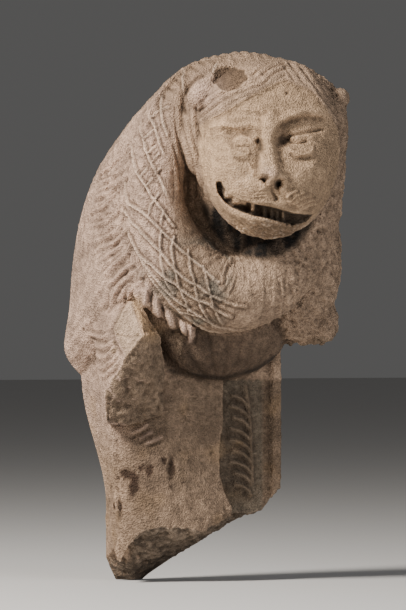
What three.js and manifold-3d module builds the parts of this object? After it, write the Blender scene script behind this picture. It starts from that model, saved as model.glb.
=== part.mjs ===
// A lion protome: the forepart of a lion carved from one block of brown sandstone and built into a wall.
// Millimetres, +Z up. The lion looks out towards -Y. The flat back is at Y = 0, the origin in its middle.

import * as THREE from 'three';
import { ConvexGeometry } from 'three/addons/geometries/ConvexGeometry.js';
import { LoftGeometry } from 'three/addons/geometries/LoftGeometry.js';
import { mergeVertices } from 'three/addons/utils/BufferGeometryUtils.js';
import Module from 'manifold-3d';

const wasm = await Module();
wasm.setup();

const { lerp, clamp, smoothstep, degToRad } = THREE.MathUtils;

// Driving dimensions. Places are X, Y, Z of the stone
const mane = {
	x: - 16, y: - 200, z: 163, turn: degToRad( 10 ), lean: degToRad( 6 ),
	halfWidth: 109, halfHeight: 147, tube: 36, lowerTube: 50, depth: 45,
	hood: 28, hoodAngle: 0.82, hoodReach: 0.4, diamondsAround: 21, diamondsAcross: 10, ridge: 3
};
const body = {
	halfWidth: 166, swell: 8, flare: 8, wallZ: - 37, wallRise: 303, wallDrop: 72, frontRise: 180,
	frontDrop: 170, squareness: 2.5, locksRound: 46, lockHeight: 4, sweep: 0.32, wave: 0.035, steps: 9
};
const neck = {
	// Share of the way to the head, then half width and half height
	flare: [ [ 0, 112, 150 ], [ 0.2, 90, 112 ], [ 0.45, 68, 82 ], [ 1, 60, 72 ] ],
	root: 40, rise: 4, points: 24
};
const head = {
	x: - 9, y: - 290, z: 219, turn: degToRad( 25 ), halfWidth: 93, halfHeight: 117, front: 92, back: 70,
	squareness: 2.45, muzzleDrop: 45, points: 62, rings: 20
};
const bib = { x: 0, y: - 112, z: - 6, halfWidth: 99, depth: 76, height: 76, folds: 14, foldDepth: 0.03 };
const lobe = { halfWidth: 13, depth: 11, halfLength: 19 };
const shoulder = {
	middle: [ 94, - 128, 78 ], size: [ 66, 98, 122 ], knob: [ 126, - 130, - 8 ], knobSize: [ 34, 60, 46 ],
	brokenAt: - 31, slope: 0.05
};
const block = {
	left: - 144, lowLeft: - 132, backLeft: - 148, lowBackLeft: - 112, right: 105, front: - 110, bulge: 7,
	corner: 26, recess: - 88, border: - 95, borderWidth: 15, top: 30, bottom: - 375, levels: 7,
	// Where the sunk panel starts, as Z and X
	step: [ [ - 252, 22 ], [ - 230, 11 ], [ - 207, 5 ], [ - 175, 4 ], [ - 143, 9 ], [ - 89, 10 ] ]
};
const frond = { x: 54, top: - 70, bottom: - 232, leaflets: 8, reach: 29, rise: 15, width: 3.6, height: 6 };

// The features of the face, in millimetres to the viewer's right of the head's middle and above it
const face = {
	nose: [ [ - 4, 36 ], [ - 5, 1 ], [ - 1, - 32 ] ],
	nostrils: [ [ - 8, - 41 ], [ 11, - 46 ] ],
	brows: [
		[ [ - 70, 25 ], [ - 42, 27 ], [ - 21, 30 ], [ - 9, 22 ] ],
		[ [ 8, 22 ], [ 20, 36 ], [ 34, 42 ], [ 54, 46 ], [ 76, 43 ] ]
	],
	eyes: [ [ - 28, 4 ], [ 44, 3 ] ],
	lids: [
		[ [ - 42, 2 ], [ - 30, 11 ], [ - 17, 11 ], [ - 10, 2 ] ],
		[ [ 22, 7 ], [ 35, 15 ], [ 53, 17 ], [ 66, 12 ] ]
	],
	cheeks: [ [ - 58, - 22 ], [ 62, - 24 ] ],
	muzzle: [ [ - 28, - 48 ], [ 38, - 62 ] ],
	upperLip: [
		[ - 73, - 40 ], [ - 57, - 52 ], [ - 47, - 61 ], [ 2, - 69 ], [ 20, - 78 ], [ 36, - 84 ], [ 58, - 85 ]
	],
	lowerLip: [
		[ - 73, - 47 ], [ - 54, - 71 ], [ - 41, - 78 ], [ - 4, - 89 ], [ 29, - 99 ], [ 42, - 97 ], [ 58, - 86 ]
	],
	teeth: [
		[ - 52, - 57, 7 ], [ - 40, - 66, 9 ], [ - 20, - 73, 11 ],
		[ - 4, - 76, 8 ], [ 5, - 79, 8 ], [ 14, - 83, 8 ]
	],
	hairline: [
		[ - 92, 28 ], [ - 78, 38 ], [ - 30, 64 ], [ - 4, 77 ], [ 18, 89 ], [ 35, 79 ], [ 65, 61 ], [ 90, 25 ]
	],
	parting: 24,
	strand: 17
};

// Ears and side hair in the head's own frame: middle, then half sizes across, in depth and in height
const earsAndHair = [
	{ at: [ - 82, 76, - 8 ], size: [ 25, 20, 27 ] },
	{ at: [ 91, 66, - 20 ], size: [ 14, 20, 14 ] },
	{ at: [ - 88, 10, - 35 ], size: [ 31, 42, 74 ] },
	{ at: [ 80, 30, - 25 ], size: [ 23, 42, 50 ] }
];

// Where the lobes of hair under the mane hang, and how far each leans
const lobePlaces = [
	[ - 135, - 167, 32, - 0.2 ], [ - 118, - 170, 18, - 0.35 ],
	[ - 97, - 173, 4, - 0.35 ], [ - 74, - 176, - 11, - 0.4 ]
];

// Corners of the broken foreleg's faces: those that stand out, then those inside the body
const stumpCorners = [
	[ - 147, - 165, 22 ], [ - 162, - 150, 1 ], [ - 143, - 190, - 24 ], [ - 159, - 170, - 53 ],
	[ - 173, - 130, - 104 ], [ - 163, - 118, - 141 ], [ - 134, - 120, - 143 ], [ - 84, - 125, - 129 ],
	[ - 94, - 150, - 63 ], [ - 113, - 175, - 24 ], [ - 139, - 170, 18 ],
	[ - 160, - 60, 10 ], [ - 146, - 60, - 110 ], [ - 140, - 60, - 135 ], [ - 90, - 60, - 129 ],
	[ - 90, - 60, 10 ]
];

// Height of the broken foot across the stone, as X and Z, at the front and at the wall
const brokenFoot = {
	front: [
		[ - 190, - 335 ], [ - 128, - 325 ], [ - 119, - 298 ], [ - 101, - 283 ], [ - 80, - 278 ], [ - 57, - 281 ],
		[ - 26, - 284 ], [ - 7, - 279 ], [ 18, - 267 ], [ 40, - 261 ], [ 78, - 259 ], [ 99, - 230 ]
	],
	wall: [
		[ - 190, - 300 ], [ - 112, - 322 ], [ - 98, - 352 ], [ - 84, - 363 ], [ - 69, - 360 ], [ - 50, - 345 ],
		[ - 9, - 320 ], [ 22, - 305 ], [ 55, - 285 ], [ 73, - 270 ], [ 105, - 258 ]
	]
};


// A closed geometry as a solid that can be joined and cut
function solidOf( geometry ) {

	const bare = new THREE.BufferGeometry();
	bare.setAttribute( 'position', geometry.attributes.position );
	bare.setIndex( geometry.index );
	const merged = mergeVertices( bare, 1e-3 );
	return new wasm.Manifold( new wasm.Mesh( {
		numProp: 3,
		vertProperties: merged.attributes.position.array,
		triVerts: new Uint32Array( merged.index.array )
	} ) );

}

// A solid through a row of sections, closed at both ends. Each runs anticlockwise as the next one sees it
const loftOf = ( sections ) => solidOf( new LoftGeometry( sections, { capStart: true, capEnd: true } ) );

// Moves every vertex of a geometry to the place that a function gives it
function reshape( geometry, place ) {

	const position = geometry.attributes.position;
	const point = new THREE.Vector3();

	for ( let i = 0; i < position.count; i ++ ) {

		point.fromBufferAttribute( position, i );
		place( point );
		position.setXYZ( i, point.x, point.y, point.z );

	}

	return geometry;

}

// A frame set in the stone: x to the viewer's right, y up, z out of the stone, turned about the upright
function turnedFrame( x, y, z, turn ) {

	const right = new THREE.Vector3( Math.cos( turn ), - Math.sin( turn ), 0 );
	const up = new THREE.Vector3( 0, 0, 1 );
	const out = new THREE.Vector3().crossVectors( right, up );
	return new THREE.Matrix4().makeBasis( right, up, out ).setPosition( x, y, z );

}

// A rounded lump: an ellipsoid with its own size and place, turned about the upright
function lump( [ x, y, z ], [ halfWidth, depth, height ], turn, around, rows ) {

	const ball = new THREE.SphereGeometry( 1, around, rows ).scale( halfWidth, depth, height );
	return solidOf( ball.rotateZ( turn ).translate( x, y, z ) );

}

const power = ( value, exponent ) => Math.sign( value ) * Math.abs( value ) ** exponent;

// A soft round bump, 1 in its middle
function bump( u, v, cu, cv, ru, rv ) {

	return Math.exp( - ( ( ( u - cu ) / ru ) ** 2 ) - ( ( v - cv ) / rv ) ** 2 );

}

// Distance from a point to a line of points, and the share of the line where it is nearest
function nearest( u, v, line ) {

	let best = { distance: Infinity, share: 0 };

	for ( let i = 0; i + 1 < line.length; i ++ ) {

		const [ au, av ] = line[ i ];
		const [ bu, bv ] = line[ i + 1 ];
		const du = bu - au;
		const dv = bv - av;
		const t = clamp( ( ( u - au ) * du + ( v - av ) * dv ) / ( du * du + dv * dv ), 0, 1 );
		const distance = Math.hypot( u - au - t * du, v - av - t * dv );
		if ( distance < best.distance ) best = { distance, share: ( i + t ) / ( line.length - 1 ) };

	}

	return best;

}

// A rounded ridge along a line, 1 on the line
const stroke = ( u, v, line, width ) => Math.exp( - ( ( nearest( u, v, line ).distance / width ) ** 2 ) );

// Height of a line of points at a place along it
function heightOn( line, at ) {

	const found = line.findIndex( ( [ p ] ) => p > at );
	const i = clamp( found < 0 ? line.length : found, 1, line.length - 1 );
	const [ a, height ] = line[ i - 1 ];
	const [ b, next ] = line[ i ];
	return lerp( height, next, clamp( ( at - a ) / ( b - a ), 0, 1 ) );

}


// The body behind the mane, from the wall to the front. Every lock of hair is a ridge that runs back and down
function bodySection( t ) {

	const y = lerp( 0, mane.y + 4, t );
	const half = lerp( body.halfWidth, mane.halfWidth + 25, t ) + body.swell * Math.sin( Math.PI * t );
	const rise = lerp( body.wallRise, body.frontRise, t );
	const drop = lerp( body.wallDrop, body.frontDrop, t );
	const sweep = body.sweep * ( 1 - t ) + body.wave * Math.sin( 3 * Math.PI * t );
	const count = 2 * body.locksRound;

	return Array.from( { length: count }, ( _, j ) => {

		const even = 2 * Math.PI * j / count;
		const isLeft = Math.cos( even ) < 0;
		const level = Math.atan2( Math.sin( even ), Math.abs( Math.cos( even ) ) );
		const swept = level + sweep * Math.cos( level ) ** 2;
		const side = power( Math.cos( swept ), 2 / body.squareness ) * ( isLeft ? - 1 : 1 );
		const lift = power( Math.sin( swept ), 2 / body.squareness );
		const fade = smoothstep( t, 0, 0.15 ) * smoothstep( Math.sin( swept ), - 0.75, - 0.3 );
		const lock = ( j % 2 ? - 1 : 1 ) * body.lockHeight * fade;
		const z = lerp( body.wallZ, mane.z, t ) + lift * ( lift > 0 ? rise + lock : drop );
		const flare = body.flare * bump( y, z, 0, body.wallZ, 40, 30 );
		return new THREE.Vector3( mane.x * t + side * ( half + lock + flare ), y, z );

	} );

}

function makeBody() {

	const steps = Array.from( { length: body.steps + 1 }, ( _, i ) => i / body.steps );
	return loftOf( steps.map( bodySection ) );

}


// The mane: a thick oval roll round the face, fuller below, netted with long diamonds
function makeMane() {

	const around = 2 * mane.diamondsAround;
	const across = 2 * mane.diamondsAcross;
	const roll = new THREE.TorusGeometry( 1, 0.3, across, around );
	const place = turnedFrame( mane.x, mane.y, mane.z, mane.turn );
	place.multiply( new THREE.Matrix4().makeRotationZ( - mane.lean ) );
	const position = roll.attributes.position;
	const point = new THREE.Vector3();
	const normal = new THREE.Vector2();

	for ( let j = 0; j <= across; j ++ ) {

		for ( let i = 0; i <= around; i ++ ) {

			const along = 2 * Math.PI * ( i % around ) / around;
			const turn = 2 * Math.PI * ( j % across ) / across;
			const knot = ( i + j ) % 2 ? - mane.ridge : mane.ridge;
			const tube = lerp( mane.tube, mane.lowerTube, smoothstep( - Math.sin( along ), - 0.1, 0.95 ) );
			const hood = mane.hood * Math.exp( - ( ( ( along - mane.hoodAngle ) / mane.hoodReach ) ** 2 ) );
			const out = mane.tube - tube + hood + ( tube + knot ) * Math.cos( turn );
			normal.set( Math.cos( along ) / mane.halfWidth, Math.sin( along ) / mane.halfHeight ).normalize();
			point.set( mane.halfWidth * Math.cos( along ), mane.halfHeight * Math.sin( along ), 0 );
			point.x += out * normal.x;
			point.y += out * normal.y;
			point.z = ( mane.depth + knot ) * Math.sin( turn );
			point.applyMatrix4( place );
			position.setXYZ( j * ( around + 1 ) + i, point.x, point.y, point.z );

		}

	}

	// Each four-sided face is split along its ridge, so that the net stands out
	const index = roll.index.array;
	let k = 0;

	for ( let j = 1; j <= across; j ++ ) {

		for ( let i = 1; i <= around; i ++ ) {

			const a = ( around + 1 ) * j + i - 1;
			const b = ( around + 1 ) * ( j - 1 ) + i - 1;
			const halves = ( i + j ) % 2 ? [ a, b, b + 1, a, b + 1, a + 1 ] : [ a, b, a + 1, b, b + 1, a + 1 ];
			index.set( halves, k );
			k += 6;

		}

	}

	return solidOf( roll );

}


// The neck: a flared stalk from inside the mane to the back of the head
function makeNeck() {

	const root = turnedFrame( mane.x, mane.y + neck.root, mane.z, mane.turn );
	const tip = turnedFrame( head.x, head.y, head.z + neck.rise, head.turn );

	const ring = ( [ t, halfWidth, halfHeight ] ) => Array.from( { length: neck.points }, ( _, j ) => {

		const angle = 2 * Math.PI * j / neck.points;
		const local = new THREE.Vector3( halfWidth * Math.cos( angle ), halfHeight * Math.sin( angle ), 0 );
		return local.clone().applyMatrix4( root ).lerp( local.applyMatrix4( tip ), t );

	} );

	return loftOf( neck.flare.map( ring ) );

}


// The face, carved as heights over a dome: u to the viewer's right of the head's middle, v above it
function faceRelief( u, v ) {

	let w = 16 * bump( u, v, - 2, - 52, 56, 40 );
	const nose = nearest( u, v, face.nose );
	w += lerp( 9, 15, nose.share ) * Math.exp( - ( ( nose.distance / lerp( 8, 13, nose.share ) ) ** 2 ) );
	for ( const brow of face.brows ) w += 6 * stroke( u, v, brow, 8 );
	for ( const [ cu, cv ] of face.eyes ) w -= 14 * bump( u, v, cu, cv, 26, 15 );
	for ( const [ cu, cv ] of face.eyes ) w += 10 * bump( u, v, cu, cv, 15, 8 );
	for ( const lid of face.lids ) w += 4 * stroke( u, v, lid, 4 );
	for ( const [ cu, cv ] of face.nostrils ) w += 6 * bump( u, v, cu, cv, 12, 11 );
	for ( const [ cu, cv ] of face.nostrils ) w -= 14 * bump( u, v, cu, cv, 5, 5 );
	for ( const [ cu, cv ] of face.cheeks ) w += 6 * bump( u, v, cu, cv, 24, 26 );
	for ( const [ cu, cv ] of face.muzzle ) w += 5 * bump( u, v, cu, cv, 24, 14 );
	w += 5 * Math.exp( - ( ( ( v - heightOn( face.lowerLip, u ) + 8 ) / 8 ) ** 2 ) );

	// The grin, with teeth that hang from the upper lip
	const open = Math.min( heightOn( face.upperLip, u ) - v, v - heightOn( face.lowerLip, u ) );
	const inMouth = smoothstep( open, - 2, 3 ) * smoothstep( u, - 76, - 68 ) * smoothstep( - u, - 62, - 54 );
	let depth = 24;
	for ( const [ cu, cv, height ] of face.teeth ) depth -= 15 * bump( u, v, cu, cv, 4.5, height );
	w -= depth * inMouth;

	// The cap of hair stands over the forehead and falls in strands from a parting
	const hair = smoothstep( v - heightOn( face.hairline, u ), - 2, 4 );
	const across = 0.55 * u + 0.84 * ( u < face.parting ? - v : v );
	return w + hair * ( 8 + 2.5 * Math.cos( 2 * Math.PI * across / face.strand ) );

}

function makeHead() {

	const frame = turnedFrame( head.x, head.y, head.z, head.turn );

	// One ring of the head at a share of its outline. The rings of the face close in on the muzzle
	const ring = ( share, height, isCarved ) => Array.from( { length: head.points }, ( _, j ) => {

		const angle = 2 * Math.PI * j / head.points;
		const squareness = lerp( 2, head.squareness, smoothstep( Math.sin( angle ), 0, 0.5 ) );
		const u = share * head.halfWidth * power( Math.cos( angle ), 2 / squareness );
		const rise = share * head.halfHeight * power( Math.sin( angle ), 2 / squareness );
		const v = rise - ( isCarved ? head.muzzleDrop * ( 1 - share ) : 0 );
		const relief = isCarved ? faceRelief( u, v ) * smoothstep( 1 - share, 0.02, 0.16 ) : 0;
		return new THREE.Vector3( u, v, height + relief ).applyMatrix4( frame );

	} );

	const backRings = [ [ 0.6, - 1 ], [ 0.86, - 0.6 ], [ 0.97, - 0.25 ] ];
	const sections = backRings.map( ( [ share, depth ] ) => ring( share, depth * head.back, false ) );

	for ( let i = head.rings; i > 0; i -- ) {

		const share = ( i - 0.5 ) / ( head.rings - 0.5 );
		sections.push( ring( share, head.front * Math.sqrt( 1 - share ** 2.8 ), true ) );

	}

	return loftOf( sections );

}

// Hair at the sides of the face, the round ear and the stub of the other
function makeEarsAndHair() {

	const frame = turnedFrame( head.x, head.y, head.z, head.turn );
	return earsAndHair.map( ( { at, size } ) => {

		const middle = new THREE.Vector3( ...at ).applyMatrix4( frame );
		return lump( middle.toArray(), size, - head.turn, 14, 10 );

	} );

}


// The chest below the mane hangs over the block as a round bib with hanging folds
function makeBib() {

	return solidOf( reshape( new THREE.SphereGeometry( 1, 28, 11 ), ( p ) => {

		const fold = 1 + bib.foldDepth * Math.cos( bib.folds * Math.atan2( p.y, p.x ) );
		p.x = bib.x + bib.halfWidth * fold * power( p.x, 0.9 );
		p.y = bib.y + bib.depth * fold * p.y;
		p.z = bib.z + bib.height * p.z;

	} ) );

}

// Leaf-shaped lobes of hair that hang from the lower left of the mane
function makeLobes() {

	return lobePlaces.map( ( [ x, y, z, lean ] ) => {

		const leaf = new THREE.SphereGeometry( 1, 8, 5 );
		leaf.applyMatrix4( new THREE.Matrix4().makeScale( lobe.halfWidth, lobe.depth, lobe.halfLength ) );
		leaf.applyMatrix4( new THREE.Matrix4().makeRotationY( lean ).setPosition( x, y, z ) );
		return solidOf( leaf );

	} );

}

// The stump of the foreleg at the viewer's left: broken faces that meet in sharp edges
function makeStump() {

	return solidOf( new ConvexGeometry( stumpCorners.map( ( at ) => new THREE.Vector3( ...at ) ) ) );

}

// The shoulder at the viewer's right, broken off underneath
function makeShoulder() {

	const whole = lump( shoulder.middle, shoulder.size, 0, 18, 12 );
	return whole.add( lump( shoulder.knob, shoulder.knobSize, 0, 12, 8 ) ).subtract( shoulderBreak( 20 ) );

}


// Outline of the block at one height, anticlockwise from its front left corner
function blockOutline( z ) {

	const left = lerp( block.lowLeft, block.left, smoothstep( z, - 300, - 140 ) );
	const backLeft = lerp( block.lowBackLeft, block.backLeft, smoothstep( z, - 250, - 80 ) );
	const step = heightOn( block.step, z );
	const borderLeft = block.right - block.borderWidth;
	const outline = [];

	for ( let i = 0; i <= 5; i ++ ) {

		const s = i / 5;
		const round = block.corner * ( 1 - s ) ** 6;
		const y = block.front - block.bulge * Math.sin( Math.PI * s ) + round;
		outline.push( [ lerp( left, step, s ), y ] );

	}

	outline.push( [ step + 6, block.recess ], [ 40, block.recess + 2 ], [ borderLeft - 3, block.recess ] );
	outline.push( [ borderLeft + 3, block.border ], [ block.right - 3, block.border ] );
	outline.push( [ block.right, block.border + 6 ], [ block.right, 0 ], [ backLeft, 0 ] );
	return outline.map( ( [ x, y ] ) => new THREE.Vector3( x, y, z ) );

}

// The block under the chest, with a sunk panel at the right and a narrow border along its edge
function makeBlock() {

	const levels = Array.from( { length: block.levels + 1 }, ( _, i ) => i / block.levels );
	return loftOf( levels.map( ( t ) => blockOutline( lerp( block.bottom, block.top, t ) ) ) );

}

// A tapered, curved ridge along three points, standing out of the sunk panel
function blade( line, width, height ) {

	const path = new THREE.CatmullRomCurve3( line.map( ( p ) => new THREE.Vector3( ...p ) ) );
	const steps = 4;
	const sections = [];

	for ( let i = 0; i <= steps; i ++ ) {

		const s = i / steps;
		const middle = path.getPoint( s );
		const along = path.getTangent( s );
		const across = new THREE.Vector3( along.z, 0, - along.x ).normalize();
		const out = new THREE.Vector3( 0, - height, 0 );
		const half = width * ( 0.35 + 0.65 * Math.sin( Math.PI * ( 0.15 + 0.75 * s ) ) );
		sections.push( [
			middle.clone().addScaledVector( across, - half ),
			middle.clone().add( out ),
			middle.clone().addScaledVector( across, half ),
			middle.clone().sub( out )
		] );

	}

	return loftOf( sections );

}

// The frond on the sunk panel: a midrib with leaflets that curve up on one side
function makeFrond() {

	const { x, top, bottom, leaflets, reach, rise, width, height } = frond;
	const y = block.recess + 1;
	const midrib = [ [ x - 4, y, top ], [ x, y, ( top + bottom ) / 2 ], [ x + 3, y, bottom ] ];
	const blades = [ blade( midrib, 5, height + 1 ) ];

	for ( let i = 0; i < leaflets; i ++ ) {

		const z = lerp( top - 50, bottom + 14, i / ( leaflets - 1 ) );
		const line = [ [ x, y, z ], [ x - 0.6 * reach, y, z + 0.8 * rise ], [ x - reach, y, z + rise ] ];
		blades.push( blade( line, width, height ) );

	}

	return blades;

}


// The broken foot: everything under a rough slanting surface is gone
function footBreak() {

	return solidOf( reshape( new THREE.BoxGeometry( 1, 1, 1, 24, 3, 1 ), ( p ) => {

		const x = lerp( - 190, 130, p.x + 0.5 );
		const y = lerp( - 150, 30, p.y + 0.5 );
		const toFront = clamp( y / block.front, 0, 1.2 );
		const height = lerp( heightOn( brokenFoot.wall, x ), heightOn( brokenFoot.front, x ), toFront );
		p.set( x, y, p.z > 0 ? height : block.bottom - 40 );

	} ) );

}

// The broken shoulder: a jagged underside, from a given X outwards
function shoulderBreak( from ) {

	return solidOf( reshape( new THREE.BoxGeometry( 1, 1, 1, 6, 6, 1 ), ( p ) => {

		const x = lerp( from, 260, p.x + 0.5 );
		const y = lerp( - 300, 30, p.y + 0.5 );
		const jag = 5 * Math.sin( 0.11 * x + 0.05 * y ) + 4 * Math.cos( 0.07 * x - 0.09 * y );
		p.set( x, y, p.z > 0 ? shoulder.brokenAt + jag + shoulder.slope * ( x - block.right ) : - 200 );

	} ) );

}


// The whole stone as one solid
function makeStone() {

	const forms = [
		makeBody(), makeMane(), makeNeck(), makeHead(), ...makeEarsAndHair(),
		makeBib(), ...makeLobes(), makeShoulder(), makeStump(), makeBlock(), ...makeFrond()
	];
	const whole = forms.reduce( ( sum, form ) => sum.add( form ) );
	const broken = whole.subtract( footBreak() ).subtract( shoulderBreak( block.right ) );
	return broken.decompose().sort( ( a, b ) => b.volume() - a.volume() )[ 0 ];

}

// A solid as a named mesh
function meshOf( solid, name, material ) {

	const { vertProperties, triVerts } = solid.getMesh();
	const geometry = new THREE.BufferGeometry();
	geometry.setAttribute( 'position', new THREE.BufferAttribute( vertProperties, 3 ) );
	geometry.setIndex( new THREE.BufferAttribute( triVerts, 1 ) );
	geometry.computeVertexNormals();
	const mesh = new THREE.Mesh( geometry, material );
	mesh.name = name;
	return mesh;

}

const sandstone = new THREE.MeshStandardMaterial( { color: 0x9b8573, roughness: 0.95, metalness: 0 } );

const group = new THREE.Group();
group.add( meshOf( makeStone(), 'lion_protome', sandstone ) );

export default group;
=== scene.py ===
import math

import bmesh
import bpy
import numpy as np
from mathutils import Matrix, Vector, kdtree


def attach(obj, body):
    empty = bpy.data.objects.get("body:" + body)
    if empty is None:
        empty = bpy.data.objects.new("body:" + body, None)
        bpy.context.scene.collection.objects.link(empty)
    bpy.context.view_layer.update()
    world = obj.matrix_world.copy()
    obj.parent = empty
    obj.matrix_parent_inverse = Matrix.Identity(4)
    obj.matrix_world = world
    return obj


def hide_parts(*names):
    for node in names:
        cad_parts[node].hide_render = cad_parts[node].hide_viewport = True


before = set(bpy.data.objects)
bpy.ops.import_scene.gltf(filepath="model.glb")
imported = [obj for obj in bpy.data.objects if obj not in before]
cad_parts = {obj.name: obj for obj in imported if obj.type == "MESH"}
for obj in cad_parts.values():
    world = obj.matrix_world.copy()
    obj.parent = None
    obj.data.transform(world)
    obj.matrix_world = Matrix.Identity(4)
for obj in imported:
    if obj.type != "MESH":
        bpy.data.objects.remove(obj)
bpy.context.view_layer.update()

# The stone is shaped in millimetres, as the part's source is, and made metres at the end.
# Rough forms are joined by a voxel remesh, then the fine carving moves the points of that mesh.
metre = 0.001
seed = 7
finest = 1.45   # edge of the joined mesh
mostTriangles = 196000


# Small sums used by every form

def lerp(a, b, t):
    return a + (b - a) * t


def ease(x, low, high):
    t = np.clip((x - low) / (high - low), 0, 1)
    return t * t * (3 - 2 * t)


def band(x, start, full, falling, end):
    # rises from start to full and falls again from falling to end
    return ease(x, start, full) * (1 - ease(x, falling, end))


def power(value, exponent):
    return np.sign(value) * np.abs(value) ** exponent


def bump(u, v, cu, cv, ru, rv):
    return np.exp(-((u - cu) / ru) ** 2 - ((v - cv) / rv) ** 2)


def trace(u, v, line):
    # distance from each point to a line of points, the share of the line passed there, and its side
    best = np.full(u.shape, 1e9)
    share = np.zeros(u.shape)
    side = np.zeros(u.shape)
    for i, ((au, av), (bu, bv)) in enumerate(zip(line[:-1], line[1:])):
        du, dv = bu - au, bv - av
        t = np.clip(((u - au) * du + (v - av) * dv) / (du * du + dv * dv), 0, 1)
        far = np.hypot(u - au - t * du, v - av - t * dv)
        nearer = far < best
        best = np.where(nearer, far, best)
        share = np.where(nearer, (i + t) / (len(line) - 1), share)
        side = np.where(nearer, np.sign(du * (v - av) - dv * (u - au)), side)
    return best, share, side


def stroke(u, v, line, width, taper=0.0):
    # a rounded ridge along a line, 1 on the line, thinning out over the share taper at both ends
    far, share, _ = trace(u, v, line)
    ends = ease(share, 0, taper) * ease(1 - share, 0, taper) if taper else 1
    return ends * np.exp(-(far / width) ** 2)


def strokes(u, v, lines, width, taper=0.0):
    return sum(stroke(u, v, line, width, taper) for line in lines)


def shifted(line, du, dv):
    return [(u + du, v + dv) for u, v in line]


def onlyNear(near, values):
    # the values where near is true, and 0 elsewhere
    every = np.zeros(len(near))
    every[near] = values
    return every


def within(x, low, high):
    return (x > low) & (x < high)


def heightOn(line, at):
    xs, ys = zip(*line)
    return np.interp(at, xs, ys)


def turnedFrame(x, y, z, turn):
    # rows are the viewer's right, up and out of the stone, turned about the upright
    right = (math.cos(turn), -math.sin(turn), 0)
    out = (-math.sin(turn), -math.cos(turn), 0)
    return np.array((x, y, z)), np.array((right, (0, 0, 1), out))


def toStone(local, place):
    origin, axes = place
    return origin + local @ axes


def toLocal(points, place):
    origin, axes = place
    return (points - origin) @ axes.T


table = np.random.default_rng(seed).uniform(-1, 1, (32, 32, 32))


def waves(points, size, shift=0):
    # smooth noise from -1 to 1 with lumps of the given size
    p = points / size + shift * 7.31
    cell = np.floor(p).astype(int)
    f = p - cell
    f = f * f * (3 - 2 * f)
    total = 0
    for dx in (0, 1):
        for dy in (0, 1):
            for dz in (0, 1):
                corner = table[(cell[:, 0] + dx) % 32, (cell[:, 1] + dy) % 32, (cell[:, 2] + dz) % 32]
                wx = f[:, 0] if dx else 1 - f[:, 0]
                wy = f[:, 1] if dy else 1 - f[:, 1]
                wz = f[:, 2] if dz else 1 - f[:, 2]
                total = total + corner * wx * wy * wz
    return total


def grain(points, size, octaves=3, shift=0):
    total = 0
    for i in range(octaves):
        total = total + waves(points, size / 2 ** i, shift + i) / 2 ** i
    return total


# The rough forms. Each starts from a bmesh operator's shape, and a function moves its points into place

forms = []


def addObject(name, data):
    thing = bpy.data.objects.new(name, data)
    bpy.context.collection.objects.link(thing)
    return thing


def meshArrays(mesh):
    points = np.empty(3 * len(mesh.vertices))
    mesh.vertices.foreach_get("co", points)
    normals = np.empty(3 * len(mesh.vertices))
    mesh.vertex_normals.foreach_get("vector", normals)
    edges = np.empty(2 * len(mesh.edges), dtype=int)
    mesh.edges.foreach_get("vertices", edges)
    return points.reshape(-1, 3), normals.reshape(-1, 3), edges.reshape(-1, 2)


def movePoints(mesh, points):
    mesh.vertices.foreach_set("co", points.ravel())
    mesh.update()


def keepForm(bm, place):
    mesh = bpy.data.meshes.new("form")
    bm.to_mesh(mesh)
    bm.free()
    movePoints(mesh, place(meshArrays(mesh)[0]))
    forms.append(mesh)


def cubeForm(cuts, place):
    bm = bmesh.new()
    bmesh.ops.create_cube(bm, size=2)
    bmesh.ops.subdivide_edges(bm, edges=bm.edges[:], cuts=cuts, use_grid_fill=True)
    keepForm(bm, place)


def ballForm(cuts, place):
    # a cube cut fine and blown up to a ball, so that it has no poles
    cubeForm(cuts, lambda p: place(p / np.linalg.norm(p, axis=1)[:, None]))


def tubeParts(points, cap=0.08):
    # a ball's points as a capped tube: share along it, angle round it, and how far out of its middle
    passed = 1 - np.arccos(np.clip(points[:, 2], -1, 1)) / math.pi
    t = np.clip((passed - cap) / (1 - 2 * cap), 0, 1)
    out = np.clip(np.minimum(passed, 1 - passed) / cap, 0, 1)
    return t, np.arctan2(points[:, 1], points[:, 0]), out


mane = {
    "x": -16, "y": -200, "z": 163, "turn": math.radians(10), "lean": math.radians(6),
    "halfWidth": 109, "halfHeight": 147, "tube": 36, "lowerTube": 50, "depth": 45,
    "hood": 28, "hoodAngle": 0.82, "hoodReach": 0.4, "around": 64, "across": 20, "cuts": 9,
}


def maneFrame():
    origin, axes = turnedFrame(mane["x"], mane["y"], mane["z"], mane["turn"])
    c, s = math.cos(mane["lean"]), math.sin(mane["lean"])
    lean = np.array(((c, -s, 0), (s, c, 0), (0, 0, 1)))
    return origin, lean @ axes


def maneTube(along):
    # radius of the roll, and how far its middle stands out of the oval
    tube = lerp(mane["tube"], mane["lowerTube"], ease(-np.sin(along), -0.1, 0.95))
    hood = mane["hood"] * np.exp(-((along - mane["hoodAngle"]) / mane["hoodReach"]) ** 2)
    return tube, mane["tube"] - tube + hood


def placeMane(points):
    along = np.arctan2(points[:, 1], points[:, 0])
    turn = np.arctan2(points[:, 2], np.hypot(points[:, 0], points[:, 1]) - 1)
    tube, middle = maneTube(along)
    out = middle + tube * np.cos(turn)
    nx, ny = np.cos(along) / mane["halfWidth"], np.sin(along) / mane["halfHeight"]
    length = np.hypot(nx, ny)
    local = np.stack((
        mane["halfWidth"] * np.cos(along) + out * nx / length,
        mane["halfHeight"] * np.sin(along) + out * ny / length,
        mane["depth"] * np.sin(turn)), 1)
    return toStone(local, maneFrame())


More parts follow.
